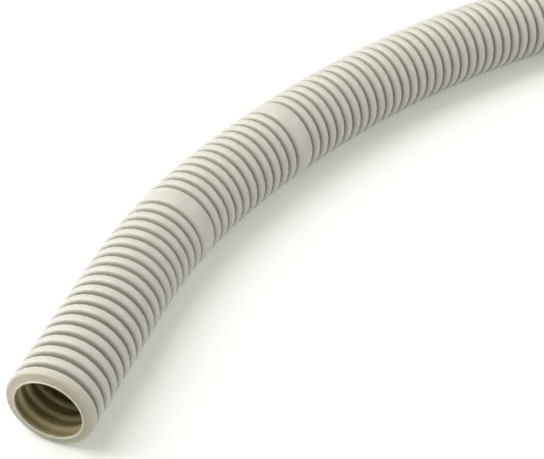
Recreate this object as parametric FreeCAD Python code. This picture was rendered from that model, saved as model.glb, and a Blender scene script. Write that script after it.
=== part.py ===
"""A cut length of flexible conduit: one corrugated plastic tube that lies on the floor in a wide bend."""
import FreeCAD, Part

import math
import os

from FreeCAD import Placement, Rotation, Vector

# Section of the tube, in millimetres
outside_diameter = 20.0
groove_depth = 2.0
wall_thickness = 0.4
pitch = 3.3
groove_floor = 0.6
crest_flat = 0.8
shoulder_rounding = 0.8

# Flat facets that make up each shoulder's arc, outside and inside, few because about 300 rings repeat them
outer_facets = 2
inner_facets = 1

# The length, cut at the nearest groove, and its stretches in whole rings from the mouth
nominal_length = 1000.0
mouth_straight_rings = 12
near_bend_rings = 13
tail_straight_rings = 16
near_bend_radius = 160.0

# The plain bands, each where one groove is left out, counted from the cut at the mouth as 0
missing_grooves = (19, 32)

crest_radius = outside_diameter / 2
groove_radius = crest_radius - groove_depth
bore_radius = groove_radius - wall_thickness
half_groove = groove_floor / 2

# A flank runs straight up from the end of the groove's floor and touches the arc of the crest's shoulder
shoulder_along = (pitch - crest_flat) / 2
shoulder_height = crest_radius - shoulder_rounding
flank_run = shoulder_along - half_groove
flank_rise = shoulder_height - groove_radius
flank_reach = math.hypot(flank_run, flank_rise)
flank_angle = math.atan2(flank_rise, flank_run) + math.asin(shoulder_rounding / flank_reach)
half_ridge = half_groove + wall_thickness * math.tan(flank_angle / 2)

# The far bend takes the rings that are left, and turns the tube round until both its ends point the same way
ring_count = int(nominal_length / pitch)
full_length = ring_count * pitch
far_bend_rings = ring_count - mouth_straight_rings - near_bend_rings - tail_straight_rings
near_bend_turn = near_bend_rings * pitch / near_bend_radius
far_bend_radius = far_bend_rings * pitch / (math.pi - near_bend_turn)

UP = Vector(0, 0, 1)


def half_line(half_floor, floor_radius, rounding, facets):
    """Half of a ring's outer or inner line, from its floor up to its crest, as (along, radius) points."""
    line = [(0.0, floor_radius), (half_floor, floor_radius)]
    for n in range(facets + 1):
        turned = flank_angle * (1 - n / facets)
        along = shoulder_along - rounding * math.sin(turned)
        line.append((along, shoulder_height + rounding * math.cos(turned)))
    return line


def mirrored(line, length):
    """A line followed by its mirror image about the middle of a length."""
    return line + [(length - along, radius) for along, radius in reversed(line)]


def wall_outline(length):
    """The closed section of the wall from the middle of one groove to the middle of the next."""
    outside = half_line(half_groove, groove_radius, shoulder_rounding, outer_facets)
    inside = half_line(half_ridge, bore_radius, shoulder_rounding - wall_thickness, inner_facets)
    return mirrored(outside, length) + mirrored(inside, length)[::-1]


def revolved(outline, start, end):
    """A solid ring about the X axis. Its two ends run on a little, to be mitred."""
    spare = half_groove / 2
    stretch = {start: start - spare, end: end + spare}
    points = [Vector(stretch.get(along, along), 0, -radius) for along, radius in outline]
    section = Part.Face(Part.makePolygon(points + points[:1]))
    return section.revolve(Vector(0, 0, 0), Vector(1, 0, 0), 360)


def wedge(start, end, turn_before, turn_after):
    """The space between two upright planes, each leaning by half of the turn at its end."""
    reach = outside_diameter
    lean_before = reach * math.tan(turn_before / 2)
    lean_after = reach * math.tan(turn_after / 2)
    corners = [
        Vector(start - lean_before, reach, -reach),
        Vector(start + lean_before, -reach, -reach),
        Vector(end - lean_after, -reach, -reach),
        Vector(end + lean_after, reach, -reach),
    ]
    return Part.Face(Part.makePolygon(corners + corners[:1])).extrude(UP * (2 * reach))


def ring_faces(length, turn_before, turn_after, open_ends):
    """The wall faces of one ring, or of a plain band when it is two pitches long, without its open ends."""
    def is_open(face):
        flat = face.Surface.TypeId == "Part::GeomPlane"
        return flat and any(abs(face.CenterOfMass.x - end) < half_groove / 2 for end in open_ends)
    ring = revolved(wall_outline(length), 0.0, length)
    cut = ring.common(wedge(0.0, length, turn_before, turn_after))
    return [face for face in cut.Faces if not is_open(face)]


def centre_at(distance):
    """The point on the centreline, and the heading there, at a distance along it from the mouth."""
    point = Vector(0, 0, crest_radius)
    heading = math.pi / 2
    stretches = (
        (mouth_straight_rings, None),
        (near_bend_rings, near_bend_radius),
        (far_bend_rings, far_bend_radius),
        (tail_straight_rings, None),
    )
    left = distance
    for rings, radius in stretches:
        step = min(left, rings * pitch)
        turn = step / radius if radius else 0.0
        chord = 2 * radius * math.sin(turn / 2) if radius else step
        middle = heading - turn / 2
        point = point + Vector(math.cos(middle), math.sin(middle), 0) * chord
        heading -= turn
        left -= step
    return point, heading


def placed(faces, point, heading):
    """Copies of faces, moved from the X axis to a point and turned to a heading."""
    spot = Placement(point, Rotation(UP, math.degrees(heading)))
    moved = [face.copy() for face in faces]
    for face in moved:
        face.Placement = spot.multiply(face.Placement)
    return moved


def conduit():
    """The whole tube as one closed solid, cut square through the middle of a groove at both ends."""
    grooves = [n for n in range(ring_count + 1) if n not in missing_grooves]
    points = [centre_at(n * pitch)[0] for n in grooves]
    chords = [b - a for a, b in zip(points, points[1:])]
    headings = [math.atan2(chord.y, chord.x) for chord in chords]
    turns = [0.0] + [a - b for a, b in zip(headings, headings[1:])] + [0.0]
    made = {}
    faces = []
    for n, (chord, before, after) in enumerate(zip(chords, turns, turns[1:])):
        ends = [0.0, chord.Length]
        if n == 0:
            ends.remove(0.0)
        if n == len(chords) - 1:
            ends.remove(chord.Length)
        key = tuple(round(value, 7) for value in (chord.Length, before, after, *ends))
        if key not in made:
            made[key] = ring_faces(chord.Length, before, after, ends)
        faces += placed(made[key], points[n], headings[n])
    wall = Part.makeCompound(faces)
    wall.sewShape()
    solid = Part.Solid(wall.Shells[0] if wall.Shells else wall)
    if solid.Volume < 0:
        solid.reverse()
    return solid


def main():
    os.makedirs("parts", exist_ok=True)
    tube = conduit()
    box = tube.BoundBox
    origin = Vector(box.Center.x, box.Center.y, 0)
    tube.translate(-origin)
    tube.exportStep("parts/conduit.step")
    print("length", round(full_length, 1), "rings", ring_count, "far bend radius", round(far_bend_radius, 3))
    print("valid", tube.isValid(), "faces", len(tube.Faces), "volume mm3", round(tube.Volume, 1))
    print("corners", tube.BoundBox)
    for name, distance in (("mouth", 0.0), ("tail", full_length)):
        point, heading = centre_at(distance)
        print(name, "centre", point - origin, "heading", round(math.degrees(heading), 4))


main()
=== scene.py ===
"""Flexible conduit: a cut length of corrugated plastic tube, lying on a plain floor in a wide bend.

The tube is one closed mesh. Its wall is a profile carried ring by ring along the same centreline as the
construction model, and the rings meet on mitres in the grooves between them.
"""

import math

import bpy
import numpy as np
from bpy.props import FloatProperty, FloatVectorProperty, IntProperty, IntVectorProperty, PointerProperty
from bpy.types import Operator, Panel, PropertyGroup
from mathutils import Matrix, Vector


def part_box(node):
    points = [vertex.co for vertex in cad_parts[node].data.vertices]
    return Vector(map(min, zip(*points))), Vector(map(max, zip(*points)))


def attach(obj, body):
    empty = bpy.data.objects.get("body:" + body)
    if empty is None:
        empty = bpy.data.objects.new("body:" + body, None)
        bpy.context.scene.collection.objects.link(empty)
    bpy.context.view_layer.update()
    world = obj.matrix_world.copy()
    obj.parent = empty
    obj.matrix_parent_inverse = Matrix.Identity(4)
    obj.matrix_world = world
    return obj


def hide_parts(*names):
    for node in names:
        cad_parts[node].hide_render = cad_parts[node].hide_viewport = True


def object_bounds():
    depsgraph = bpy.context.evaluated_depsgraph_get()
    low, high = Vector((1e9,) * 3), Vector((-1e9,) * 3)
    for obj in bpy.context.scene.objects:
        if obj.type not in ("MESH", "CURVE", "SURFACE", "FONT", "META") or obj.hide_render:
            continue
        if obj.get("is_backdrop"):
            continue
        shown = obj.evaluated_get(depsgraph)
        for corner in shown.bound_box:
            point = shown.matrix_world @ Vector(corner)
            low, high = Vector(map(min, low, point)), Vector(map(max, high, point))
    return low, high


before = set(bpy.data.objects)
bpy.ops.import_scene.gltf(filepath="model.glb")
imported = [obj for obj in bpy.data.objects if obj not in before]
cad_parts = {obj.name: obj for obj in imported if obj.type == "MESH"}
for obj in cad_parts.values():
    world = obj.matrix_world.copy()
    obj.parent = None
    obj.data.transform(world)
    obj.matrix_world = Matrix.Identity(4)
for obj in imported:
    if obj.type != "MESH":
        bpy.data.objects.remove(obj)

bl_info = {
    "name": "Flexible conduit",
    "version": (1, 0, 0),
    "blender": (4, 5, 0),
    "location": "View3D > Sidebar > Conduit",
    "description": "Builds a bent length of corrugated plastic conduit and its plain studio",
    "category": "Add Mesh",
}

NODE = "conduit"
BODY = "root"
MM = 0.001

# Steps in a shoulder's arc near the two ends and elsewhere, and how many rings can be seen from inside
NEAR_STEPS = 4
FAR_STEPS = 2
RINGS_SEEN_INSIDE = 10

# The cut edge's lip, from outside to inside: shares of the wall, and how far back from the cut in walls
LIP_ACROSS = (0.94, 0.8, 0.5, 0.2, 0.06)
LIP_BACK = (0.16, 0.03, 0.0, 0.03, 0.16)

# How much of the grooves' painted shade and of the inner wall's painted shade shows on the two end faces
END_GROOVE_SHADE = 0.35
END_INNER_SHADE = 0.35

# A ring longer than this many pitches is a plain band
BAND_FROM = 1.5

# How deep in a groove its painted shade starts to show and where it shows in full, as shares of the
# groove's depth
GROOVE_SHADE_FROM = 0.05
GROOVE_SHADE_TO = 0.6

# Noise patterns of the plastic: repeats in a metre, layers of detail, and how strong the finer layers are
CLOUD_PATTERN = (45.0, 3.0, 0.55)
GLOSS_PATTERN = (220.0, 4.0, 0.6)
RIPPLE_PATTERN = (520.0, 1.0, 0.5)
GRAIN_PATTERN = (2600.0, 2.0, 0.5)
RIPPLE_STRENGTH = 0.35
GRAIN_STRENGTH = 0.12

# How far the plastic's roughness drifts to each side, and how strongly the plastic bends light
GLOSS_DRIFT = 0.06
PLASTIC_IOR = 1.5

# Softboxes: name, place from the point that the camera aims at, width and height in metres, power in watts
SOFTBOXES = (
    ("key_softbox", (-1.6, -0.2, 2.9), (3.0, 3.0), 96.0),
    ("side_fill", (2.5, 0.0, 1.5), (2.6, 2.6), 26.0),
    ("low_softbox", (-2.6, 0.0, 1.0), (2.0, 2.0), 38.0),
    ("window_strip", (1.1, 1.9, 1.5), (0.1, 0.4), 4.0),
)

# The floor: its half width, the distances from its middle between which it fades to the room's white, its
# roughness and the tint of its lift
FLOOR_HALF = 12.0
FADE_FROM = 1.2
FADE_TO = 5.0
FLOOR_ROUGHNESS = 0.9
FLOOR_GLOW = (0.97, 1.0, 0.85, 1.0)

# The room's light: its tint, the way to its brightest part, and the cosine from there at which it ends
ROOM_TINT = (0.97, 1.0, 0.94, 1.0)
ROOM_TOP = (-0.1, -0.25, 0.96)
ROOM_EDGE = 0.25
WHITE = (1.0, 1.0, 1.0, 1.0)

# The camera's sensor in millimetres, and the distances in metres between which it sees
SENSOR_WIDTH = 36.0
SEES_FROM = 0.01
SEES_TO = 100.0


class ConduitSection(PropertyGroup):
    """Sizes of the corrugated wall."""

    outside_diameter: FloatProperty(
        name="Outside diameter", description="Over the crests of the rings",
        default=20 * MM, min=5 * MM, precision=4, unit="LENGTH")
    groove_depth: FloatProperty(
        name="Groove depth", description="From the crests down to the floors of the grooves",
        default=2 * MM, min=1 * MM, precision=5, unit="LENGTH")
    wall: FloatProperty(
        name="Wall", description="Thickness of the plastic",
        default=0.4 * MM, min=0.1 * MM, precision=5, unit="LENGTH")
    pitch: FloatProperty(
        name="Pitch", description="From the middle of one groove to the middle of the next",
        default=3.3 * MM, min=1 * MM, precision=5, unit="LENGTH")
    groove_floor: FloatProperty(
        name="Groove floor", description="Width of a groove at its bottom",
        default=0.6 * MM, min=0.1 * MM, precision=5, unit="LENGTH")
    crest_flat: FloatProperty(
        name="Crest flat", description="Width of the straight stretch along the top of a crest",
        default=0.8 * MM, min=0.1 * MM, precision=5, unit="LENGTH")
    shoulder_rounding: FloatProperty(
        name="Shoulder rounding", description="Radius of the arcs beside the crest's flat",
        default=0.8 * MM, min=0.5 * MM, precision=5, unit="LENGTH")
    around: IntProperty(
        name="Segments around", description="Faces round the tube", default=28, min=12, max=64)


class ConduitRoute(PropertyGroup):
    """How long the tube is and how it lies, counted in rings from the mouth."""

    rings: IntProperty(name="Rings", description="Pitches in the whole length", default=303, min=40)
    mouth_straight: IntProperty(
        name="Mouth straight", description="Rings in the straight stretch behind the mouth",
        default=12, min=1)
    near_bend: IntProperty(
        name="Near bend", description="Rings in the first bend", default=13, min=1)
    tail_straight: IntProperty(
        name="Tail straight", description="Rings in the straight stretch at the far end",
        default=16, min=1)
    near_radius: FloatProperty(
        name="Near bend radius", description="Radius of the centreline in the first bend",
        default=160 * MM, min=50 * MM, unit="LENGTH")
    plain_bands: IntVectorProperty(
        name="Plain bands", description="The grooves that are left out, with a plain band in their place",
        size=2, default=(19, 32), min=1)


class PlasticFinish(PropertyGroup):
    """Colours, gloss and grain of the plastic."""

    colour: FloatVectorProperty(
        name="Colour", description="The plastic's own light warm grey",
        subtype="COLOR", size=3, min=0, max=1, default=(0.617, 0.592, 0.523))
    cloudiness: FloatProperty(
        name="Cloudiness", description="How far the colour drifts to each side, as a share",
        subtype="FACTOR", default=0.033, min=0, max=0.2)
    # Painted shade: a darker colour mixed in towards the bottom of the grooves, where shade falls
    painted_groove_shade: FloatVectorProperty(
        name="Groove colour", description="Deeper tone at the bottom of the grooves",
        subtype="COLOR", size=3, min=0, max=1, default=(0.34, 0.317, 0.256))
    # Olive tone of the inner wall, made darker as painted shade inside the tube
    olive_inner_shade: FloatVectorProperty(
        name="Inner colour", description="Olive tone of the inner wall",
        subtype="COLOR", size=3, min=0, max=1, default=(0.5, 0.42, 0.225))
    cut_colour: FloatVectorProperty(
        name="Cut colour", description="Paler tone of the freshly cut edge",
        subtype="COLOR", size=3, min=0, max=1, default=(0.74, 0.69, 0.54))
    roughness: FloatProperty(
        name="Roughness", description="Satin gloss of the moulded skin",
        subtype="FACTOR", default=0.33, min=GLOSS_DRIFT, max=1 - GLOSS_DRIFT)
    ripple_height: FloatProperty(
        name="Ripple height", description="Uneven flow of the plastic in the moulds",
        default=0.06 * MM, min=0, precision=6, unit="LENGTH")
    grain_height: FloatProperty(
        name="Grain height", description="Fine grain of the skin",
        default=0.04 * MM, min=0, precision=6, unit="LENGTH")


class StudioSettings(PropertyGroup):
    """Camera, light and floor."""

    camera_place: FloatVectorProperty(
        name="Camera", description="Camera's place, from the floor under the mouth's centre",
        size=3, subtype="TRANSLATION", unit="LENGTH", default=(0.09352, -0.18815, 0.24522))
    camera_aim: FloatVectorProperty(
        name="Aim", description="Middle of the picture on the floor, from under the mouth's centre",
        size=3, subtype="TRANSLATION", unit="LENGTH", default=(0.01999, 0.08331, 0.0))
    camera_roll: FloatProperty(
        name="Roll", description="Turn of the picture about the line of sight",
        default=math.radians(6.515), subtype="ANGLE")
    lens: FloatProperty(
        name="Lens", description="Focal length on a 36 mm wide sensor", default=100.9, unit="CAMERA")
    floor_colour: FloatVectorProperty(
        name="Floor", description="Plain white floor", subtype="COLOR", size=3, min=0, max=1,
        default=(0.82, 0.83, 0.82))
    floor_lift: FloatProperty(
        name="Floor lift", description="Glow that brings the seen floor up to white around the tube",
        default=0.235, min=0, max=1)
    far_lift: FloatProperty(
        name="Far lift", description="Glow of the seen floor where it meets the room's white",
        default=0.8, min=0, max=1)
    room_light: FloatProperty(
        name="Room light", description="Soft light of the white room straight above the tube",
        default=0.42, min=0, max=1)


def bore_radius(section):
    """Radius inside the ridges that the grooves make on the inner wall."""
    return section.outside_diameter / 2 - section.groove_depth - section.wall


def wrapped_quads(rows, around):
    """Quads between each row of a closed grid and the next, wrapping both ways, as an (n, 4) array."""
    row = np.arange(rows)[:, None]
    column = np.arange(around)[None, :]
    next_row = (row + 1) % rows
    next_column = (column + 1) % around
    corners = (
        row * around + column,
        row * around + next_column,
        next_row * around + next_column,
        next_row * around + column,
    )
    return np.stack(corners, axis=-1).reshape(-1, 4)


def half_crest(section, wall, arc_steps):
    """Half of a crest, from the groove's floor up: distances from the groove's middle, and radii.

    The shoulder is an arc. Its middle is half a crest's flat before the middle of the pitch, at the crest's
    radius less the rounding. The flank runs straight from the floor's end and touches the arc. Its angle
    is atan2(rise, run) + asin(rounding / reach) for the run, rise and reach from the floor's end to the
    arc's middle. The inner line lies one wall further in: its arc is smaller by the wall, and its floor is
    longer by wall * tan(angle / 2).
    """
    crest = section.outside_diameter / 2
    floor = crest - section.groove_depth
    foot = section.groove_floor / 2
    middle = (section.pitch - section.crest_flat) / 2
    height = crest - section.shoulder_rounding
    reach = math.hypot(middle - foot, height - floor)
    flank = math.atan2(height - floor, middle - foot) + math.asin(section.shoulder_rounding / reach)
    turned = flank * np.linspace(1.0, 0.0, arc_steps + 1)
    rounding = section.shoulder_rounding - wall
    along = np.concatenate([[foot + wall * math.tan(flank / 2)], middle - rounding * np.sin(turned)])
    radius = np.concatenate([[floor - wall], height + rounding * np.cos(turned)])
    return along, radius


def ring_profile(length, rise, radius, extra=()):
    """One ring's line, from the groove's middle up to the last point before the next groove's middle.

    The first half is the half crest, the second half mirrors it from the ring's far end, and a plain band
    has its extra points on the flat between the two.
    """
    along = np.concatenate([[0.0], rise, np.asarray(extra), length - rise[::-1]])
    top = np.full(len(extra), radius[-1])
    return along, np.concatenate([[radius[0]], radius, top, radius[::-1]])


def route_point(route, pitch, ring):
    """Centreline point after a number of rings: straight, near bend, far bend, straight.

    Along an arc the chord is 2 r sin(turn / 2), at the heading halfway. The far bend's radius makes the
    whole turn half a circle. The mouth is at (0, 0), heading along +Y.
    """
    far_bend = route.rings - route.mouth_straight - route.near_bend - route.tail_straight
    near_turn = route.near_bend * pitch / route.near_radius
    far_radius = far_bend * pitch / (math.pi - near_turn)
    place = np.zeros(2)
    heading = math.pi / 2
    left = ring
    stretches = (
        (route.mouth_straight, None),
        (route.near_bend, route.near_radius),
        (far_bend, far_radius),
        (route.tail_straight, None),
    )
    for rings, radius in stretches:
        step = min(left, rings) * pitch
        turn = step / radius if radius else 0.0
        chord = 2 * radius * math.sin(turn / 2) if radius else step
        place = place + chord * np.array([math.cos(heading - turn / 2), math.sin(heading - turn / 2)])
        heading -= turn
        left -= min(left, rings)
    return place


def groove_frames(route, pitch):
    """Places of the grooves, and each ring's length and heading and the turns at the rings' ends."""
    grooves = [n for n in range(route.rings + 1) if n not in tuple(route.plain_bands)]
    places = np.array([route_point(route, pitch, n) for n in grooves])
    chords = np.diff(places, axis=0)
    headings = np.arctan2(chords[:, 1], chords[:, 0])
    turns = np.concatenate([[0.0], -np.diff(headings), [0.0]])
    return places, np.hypot(chords[:, 0], chords[:, 1]), headings, turns


def carried(places, headings, turns, profiles):
    """Rows of one wall from the mouth to the tail: (place, heading, along, radius, lean) arrays.

    Each ring's first row lies on the mitre between it and the ring before: its points move along by
    lean times their distance to the left of the centreline, with lean = -tan(turn / 2).
    """
    counts = [len(along) for along, _ in profiles]
    lean = np.zeros(sum(counts))
    lean[np.concatenate([[0], np.cumsum(counts)[:-1]])] = -np.tan(turns[:-1] / 2)
    return (
        np.repeat(places[:-1], counts, axis=0),
        np.repeat(headings, counts),
        np.concatenate([along for along, _ in profiles]),
        np.concatenate([radius for _, radius in profiles]),
        lean,
    )


def wall_rows(section, places, lengths, headings, turns):
    """The outer rows and the inner rows, each from the mouth to the tail.

    Near both ends the arcs are finer and the inner wall has its waves. Further in, where nothing shows it,
    the inner wall has only the middle of each ridge and of each crest.
    """
    outer = half_crest(section, 0.0, FAR_STEPS)
    fine_outer = half_crest(section, 0.0, NEAR_STEPS)
    inner = half_crest(section, section.wall, FAR_STEPS)
    outside = []
    inside = []
    for n, length in enumerate(lengths):
        flat = (length / 2,) if length > BAND_FROM * section.pitch else ()
        near = min(n, len(lengths) - 1 - n) < RINGS_SEEN_INSIDE
        outside.append(ring_profile(length, *(fine_outer if near else outer), flat))
        if near:
            inside.append(ring_profile(length, *inner))
        else:
            radii = np.array([bore_radius(section), inner[1][-1]])
            inside.append((np.array([0.0, length / 2]), radii))
    return carried(places, headings, turns, outside), carried(places, headings, turns, inside)


def rim_rows(place, heading, section, inward):
    """The cut end's rounded lip: a few rows across the wall's thickness, from outside to inside."""
    count = len(LIP_ACROSS)
    return (
        np.repeat(place[None], count, axis=0),
        np.full(count, heading),
        inward * section.wall * np.array(LIP_BACK),
        bore_radius(section) + section.wall * np.array(LIP_ACROSS),
        np.zeros(count),
    )


def swept(rows, around):
    """Points of all rows: place + heading * (along + lean * side) + left * side + up * height.

    With a the angle round the tube, side = radius * cos(a) and height = radius * sin(a).
    """
    place, heading, along, radius, lean = rows
    angle = np.linspace(0.0, 2 * math.pi, around, endpoint=False)
    side = radius[:, None] * np.cos(angle)
    height = radius[:, None] * np.sin(angle)
    forward = along[:, None] + lean[:, None] * side
    x = place[:, 0, None] + np.cos(heading)[:, None] * forward - np.sin(heading)[:, None] * side
    y = place[:, 1, None] + np.sin(heading)[:, None] * forward + np.cos(heading)[:, None] * side
    return np.stack([x, y, height], axis=-1).reshape(-1, 3)


def joined_rows(*parts):
    """Several sets of rows as one."""
    return tuple(np.concatenate(columns) for columns in zip(*parts))


def reversed_rows(rows):
    """The same rows in the other order."""
    return tuple(column[::-1] for column in rows)


def tone_marks(section, outside, tail_rim, inside, mouth_rim):
    """For each row, how deep it lies in a groove, how much of the inner wall's painted shade it takes and
    whether it is cut, each from 0 to 1.

    Depth is (crest radius - radius) / groove depth, and it sets the painted shade in the grooves. The two
    end faces, from the lip up to the first crest, have only a share of it, and a share of the inner wall's
    painted shade.
    """
    crest = section.outside_diameter / 2
    face_rows = NEAR_STEPS + 2
    face = np.zeros(len(outside[0]))
    face[:face_rows] = 1.0
    face[-face_rows:] = 1.0
    # Painted shade: the deeper a row lies in a groove, the darker the colour it takes
    depth = np.clip((crest - outside[3]) / section.groove_depth, 0.0, 1.0)
    depth *= 1.0 - (1.0 - END_GROOVE_SHADE) * face
    marks = {
        "groove_depth": (depth, 0.0, 0.0, 0.0),
        # Painted shade: the inner wall's darker, warmer olive tone, with a share on the end faces
        "painted_inner_shade": (END_INNER_SHADE * face, 0.0, 1.0, 0.0),
        "cut_edge": (0.0, 1.0, 0.0, 1.0),
    }
    counts = [len(part[0]) for part in (outside, tail_rim, inside, mouth_rim)]
    return {
        name: np.concatenate([np.broadcast_to(value, count) for value, count in zip(values, counts)])
        for name, values in marks.items()
    }


def mouth_on_floor(places):
    """The point on the floor under the mouth's centre, in the construction model's own frame.

    The two ends are as far to the left and right of the box's middle, and one of them is its front.
    """
    low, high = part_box(NODE)
    return Vector(((low.x + high.x - places[-1, 0]) / 2, low.y - min(places[0, 1], places[-1, 1]), 0.0))


def new_object(name, points, quads):
    """A smooth-shaded mesh object at the origin."""
    mesh = bpy.data.meshes.new(name)
    mesh.from_pydata(points, [], quads)
    mesh.polygons.foreach_set("use_smooth", np.ones(len(quads), bool))
    mesh.update()
    thing = bpy.data.objects.new(name, mesh)
    bpy.context.scene.collection.objects.link(thing)
    return thing


def node(tree, kind, place, **values):
    """A new node. A value goes to the input of that name, or else to the node's own property."""
    made = tree.nodes.new(kind)
    made.location = place
    for name, value in values.items():
        if name in made.inputs:
            made.inputs[name].default_value = value
        else:
            setattr(made, name, value)
    return made


def blank_material(name):
    """A material with an empty node tree and its output."""
    material = bpy.data.materials.new(name)
    material.use_nodes = True
    tree = material.node_tree
    tree.nodes.clear()
    return material, tree, node(tree, "ShaderNodeOutputMaterial", (1200, 0))


def noise(tree, place, pattern):
    """Noise on the object's own coordinates, as a socket."""
    scale, detail, spread = pattern
    where = node(tree, "ShaderNodeTexCoord", (place[0] - 200, place[1]))
    made = node(tree, "ShaderNodeTexNoise", place, Scale=scale, Detail=detail, Roughness=spread)
    tree.links.new(where.outputs["Object"], made.inputs["Vector"])
    return made.outputs["Fac"]


def toned(tree, place, base, colour, factor):
    """A colour socket mixed towards a plain colour by a factor socket."""
    mix = node(tree, "ShaderNodeMix", place, data_type="RGBA")
    mix.inputs["B"].default_value = (*colour, 1.0)
    tree.links.new(base, mix.inputs["A"])
    tree.links.new(factor, mix.inputs["Factor"])
    return mix.outputs["Result"]


def mark(tree, place, name):
    """A vertex mark's number, as a socket."""
    return node(tree, "ShaderNodeAttribute", place, attribute_name=name).outputs["Fac"]


def bump(tree, place, height, strength, distance):
    """A bump node that reads a height socket."""
    made = node(tree, "ShaderNodeBump", place, Strength=strength, Distance=distance)
    tree.links.new(height, made.inputs["Height"])
    return made


def plastic_colour(tree, finish):
    """Cloudy grey, darker in the grooves with painted shade, olive with painted shade on the inner wall and
    paler on the cut edge.
    """
    base = Vector(finish.colour)
    cloud = node(tree, "ShaderNodeMix", (-300, 300), data_type="RGBA")
    cloud.inputs["A"].default_value = (*(base * (1 - finish.cloudiness)), 1.0)
    cloud.inputs["B"].default_value = (*(base * (1 + finish.cloudiness)), 1.0)
    tree.links.new(noise(tree, (-600, 300), CLOUD_PATTERN), cloud.inputs["Factor"])
    # Painted shade in the grooves: the colour darkens towards each groove's floor
    depth = node(tree, "ShaderNodeMapRange", (-300, 600))
    depth.inputs["From Min"].default_value = GROOVE_SHADE_FROM
    depth.inputs["From Max"].default_value = GROOVE_SHADE_TO
    tree.links.new(mark(tree, (-600, 600), "groove_depth"), depth.inputs["Value"])
    groove_shaded = toned(tree, (0, 300), cloud.outputs["Result"], finish.painted_groove_shade, depth.outputs["Result"])
    # Painted shade inside the tube: the inner wall, and a share of the end faces, take the darker olive
    # tone
    inner_shaded = toned(tree, (250, 300), groove_shaded, finish.olive_inner_shade, mark(tree, (0, 600), "painted_inner_shade"))
    return toned(tree, (500, 300), inner_shaded, finish.cut_colour, mark(tree, (250, 600), "cut_edge"))


def plastic_material(finish):
    """Satin moulded plastic with an uneven gloss, slow ripples and a fine grain."""
    material, tree, output = blank_material("satin_grey_plastic")
    link = tree.links.new
    shader = node(tree, "ShaderNodeBsdfPrincipled", (900, 0), IOR=PLASTIC_IOR)
    gloss = node(tree, "ShaderNodeMapRange", (-300, -100))
    gloss.inputs["To Min"].default_value = finish.roughness - GLOSS_DRIFT
    gloss.inputs["To Max"].default_value = finish.roughness + GLOSS_DRIFT
    ripples = noise(tree, (-600, -400), RIPPLE_PATTERN)
    ripple = bump(tree, (0, -400), ripples, RIPPLE_STRENGTH, finish.ripple_height)
    grains = noise(tree, (-600, -700), GRAIN_PATTERN)
    grain = bump(tree, (300, -400), grains, GRAIN_STRENGTH, finish.grain_height)
    link(plastic_colour(tree, finish), shader.inputs["Base Color"])
    link(noise(tree, (-600, -100), GLOSS_PATTERN), gloss.inputs["Value"])
    link(gloss.outputs["Result"], shader.inputs["Roughness"])
    link(ripple.outputs["Normal"], grain.inputs["Normal"])
    link(grain.outputs["Normal"], shader.inputs["Normal"])
    link(shader.outputs["BSDF"], output.inputs["Surface"])
    return material


def seen_rays(tree):
    """A socket that is 1 for a ray from the camera, a reflection or through glass, and otherwise 0."""
    rays = node(tree, "ShaderNodeLightPath", (-900, 0))
    glossy = node(tree, "ShaderNodeMath", (-700, 0), operation="MAXIMUM")
    seen = node(tree, "ShaderNodeMath", (-500, 0), operation="MAXIMUM")
    tree.links.new(rays.outputs["Is Camera Ray"], glossy.inputs[0])
    tree.links.new(rays.outputs["Is Glossy Ray"], glossy.inputs[1])
    tree.links.new(glossy.outputs["Value"], seen.inputs[0])
    tree.links.new(rays.outputs["Is Transmission Ray"], seen.inputs[1])
    return seen.outputs["Value"]


def floor_material(studio):
    """Matt white floor, lifted where it is seen, so that it shows white away from the tube's shadow.

    The lift grows smoothly with the distance from the floor's middle.
    """
    material, tree, output = blank_material("white_floor")
    link = tree.links.new
    shader = node(tree, "ShaderNodeBsdfPrincipled", (200, 100), Roughness=FLOOR_ROUGHNESS)
    shader.inputs["Base Color"].default_value = (*studio.floor_colour, 1.0)
    shader.inputs["Specular IOR Level"].default_value = 0.0
    lift = node(tree, "ShaderNodeEmission", (200, -300), Color=FLOOR_GLOW)
    where = node(tree, "ShaderNodeTexCoord", (-900, -400))
    distance = node(tree, "ShaderNodeVectorMath", (-700, -400), operation="LENGTH")
    fade = node(tree, "ShaderNodeMapRange", (-500, -400), interpolation_type="SMOOTHSTEP")
    fade.inputs["From Min"].default_value = FADE_FROM
    fade.inputs["From Max"].default_value = FADE_TO
    fade.inputs["To Min"].default_value = studio.floor_lift
    fade.inputs["To Max"].default_value = studio.far_lift
    strength = node(tree, "ShaderNodeMath", (0, -300), operation="MULTIPLY")
    total = node(tree, "ShaderNodeAddShader", (600, 0))
    link(where.outputs["Object"], distance.inputs[0])
    link(distance.outputs["Value"], fade.inputs["Value"])
    link(seen_rays(tree), strength.inputs[0])
    link(fade.outputs["Result"], strength.inputs[1])
    link(strength.outputs["Value"], lift.inputs["Strength"])
    link(shader.outputs["BSDF"], total.inputs[0])
    link(lift.outputs["Emission"], total.inputs[1])
    link(total.outputs["Shader"], output.inputs["Surface"])
    return material


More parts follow.
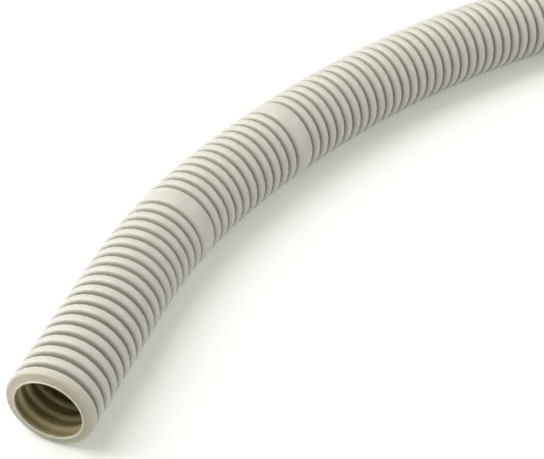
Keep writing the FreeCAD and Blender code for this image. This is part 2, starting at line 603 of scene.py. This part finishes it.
def white_room(studio):
    """A white world where it is seen, whose light comes from above and a little from the front."""
    world = bpy.data.worlds.new("white_room")
    world.use_nodes = True
    tree = world.node_tree
    tree.nodes.clear()
    link = tree.links.new
    way = node(tree, "ShaderNodeTexCoord", (-900, -300))
    upward = node(tree, "ShaderNodeVectorMath", (-700, -300), operation="DOT_PRODUCT")
    upward.inputs[1].default_value = ROOM_TOP
    level = node(tree, "ShaderNodeMapRange", (-500, -300))
    level.inputs["From Min"].default_value = ROOM_EDGE
    level.inputs["To Max"].default_value = studio.room_light
    light = node(tree, "ShaderNodeBackground", (-200, -200), Color=ROOM_TINT)
    white = node(tree, "ShaderNodeBackground", (-200, -400), Color=WHITE)
    chosen = node(tree, "ShaderNodeMixShader", (100, 0))
    output = node(tree, "ShaderNodeOutputWorld", (350, 0))
    link(way.outputs["Generated"], upward.inputs[0])
    link(upward.outputs["Value"], level.inputs["Value"])
    link(level.outputs["Result"], light.inputs["Strength"])
    link(seen_rays(tree), chosen.inputs["Fac"])
    link(light.outputs["Background"], chosen.inputs[1])
    link(white.outputs["Background"], chosen.inputs[2])
    link(chosen.outputs["Shader"], output.inputs["Surface"])
    return world


def aimed(place, aim):
    """A matrix at a place whose -Z axis points at an aim."""
    turn = (aim - place).to_track_quat("-Z", "Y").to_matrix().to_4x4()
    return Matrix.Translation(place) @ turn


def softbox(name, place, aim, size, power):
    """A rectangular area lamp that faces its aim."""
    data = bpy.data.lights.new(name, "AREA")
    data.shape = "RECTANGLE"
    data.size, data.size_y = size
    data.energy = power
    lamp = bpy.data.objects.new(name, data)
    lamp.matrix_world = aimed(place, aim)
    lamp.visible_camera = False
    bpy.context.scene.collection.objects.link(lamp)


def studio_camera(studio, mouth):
    """The camera, placed and aimed from the point under the mouth's centre."""
    data = bpy.data.cameras.new("camera")
    data.lens = studio.lens
    data.sensor_width = SENSOR_WIDTH
    data.clip_start = SEES_FROM
    data.clip_end = SEES_TO
    camera = bpy.data.objects.new("camera", data)
    place = mouth + Vector(studio.camera_place)
    upright = aimed(place, mouth + Vector(studio.camera_aim))
    camera.matrix_world = upright @ Matrix.Rotation(studio.camera_roll, 4, "Z")
    bpy.context.scene.collection.objects.link(camera)
    bpy.context.scene.camera = camera


class CONDUIT_OT_tube(Operator):
    """Make the corrugated tube in place of the plain construction model"""

    bl_idname = "conduit.tube"
    bl_label = "Corrugated tube"

    def execute(self, context):
        section = context.scene.conduit_section
        places, lengths, headings, turns = groove_frames(context.scene.conduit_route, section.pitch)
        walls = wall_rows(section, places, lengths, headings, turns)
        # The mouth's lip takes the place of each wall's first row
        outside, inside = (tuple(column[1:] for column in wall) for wall in walls)
        tail_rim = rim_rows(places[-1], headings[-1], section, -1.0)
        mouth_rim = rim_rows(places[0], headings[0], section, 1.0)
        rows = joined_rows(outside, tail_rim, reversed_rows(inside), reversed_rows(mouth_rim))
        centre = mouth_on_floor(places) + Vector((0.0, 0.0, section.outside_diameter / 2))
        points = swept(rows, section.around) + np.array(centre)
        tube = new_object("corrugated_tube", points, wrapped_quads(len(rows[0]), section.around))
        for name, values in tone_marks(section, outside, tail_rim, inside, mouth_rim).items():
            attribute = tube.data.attributes.new(name, "FLOAT", "POINT")
            attribute.data.foreach_set("value", np.repeat(values, section.around).astype(np.float32))
        tube.data.materials.append(plastic_material(context.scene.conduit_finish))
        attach(tube, BODY)
        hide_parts(NODE)
        return {"FINISHED"}


class CONDUIT_OT_stage(Operator):
    """Make the white floor, the soft lamps, the white room and the camera"""

    bl_idname = "conduit.stage"
    bl_label = "Studio"

    def execute(self, context):
        scene = context.scene
        studio = scene.conduit_studio
        places = groove_frames(scene.conduit_route, scene.conduit_section.pitch)[0]
        mouth = mouth_on_floor(places)
        corners = [(x * FLOOR_HALF, y * FLOOR_HALF, 0.0) for x, y in ((-1, -1), (1, -1), (1, 1), (-1, 1))]
        floor = new_object("floor", corners, [(0, 1, 2, 3)])
        floor.data.materials.append(floor_material(studio))
        floor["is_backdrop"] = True
        aim = mouth + Vector(studio.camera_aim)
        for name, place, size, power in SOFTBOXES:
            softbox(name, aim + Vector(place), aim, size, power)
        scene.world = white_room(studio)
        scene.view_settings.view_transform = "Standard"
        studio_camera(studio, mouth)
        return {"FINISHED"}


class CONDUIT_PT_panel(Panel):
    """Lists the conduit's sizes and its two makers"""

    bl_idname = "CONDUIT_PT_panel"
    bl_label = "Flexible conduit"
    bl_space_type = "VIEW_3D"
    bl_region_type = "UI"
    bl_category = "Conduit"

    def draw(self, context):
        for group in GROUPS:
            settings = getattr(context.scene, group)
            box = self.layout.box()
            for name in settings.__annotations__:
                box.prop(settings, name)
        self.layout.operator(CONDUIT_OT_tube.bl_idname)
        self.layout.operator(CONDUIT_OT_stage.bl_idname)


GROUPS = {
    "conduit_section": ConduitSection,
    "conduit_route": ConduitRoute,
    "conduit_finish": PlasticFinish,
    "conduit_studio": StudioSettings,
}
CLASSES = (*GROUPS.values(), CONDUIT_OT_tube, CONDUIT_OT_stage, CONDUIT_PT_panel)


def register():
    for cls in CLASSES:
        bpy.utils.register_class(cls)
    for name, group in GROUPS.items():
        setattr(bpy.types.Scene, name, PointerProperty(type=group))


def unregister():
    for name in GROUPS:
        delattr(bpy.types.Scene, name)
    for cls in reversed(CLASSES):
        bpy.utils.unregister_class(cls)


def main():
    cad_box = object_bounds()
    register()
    bpy.ops.conduit.tube()
    bpy.ops.conduit.stage()
    boxes = {"cad": cad_box, "visual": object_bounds()}
    boxes = {name: [list(corner) for corner in box] for name, box in boxes.items()}


if __name__ == "__main__":
    main()
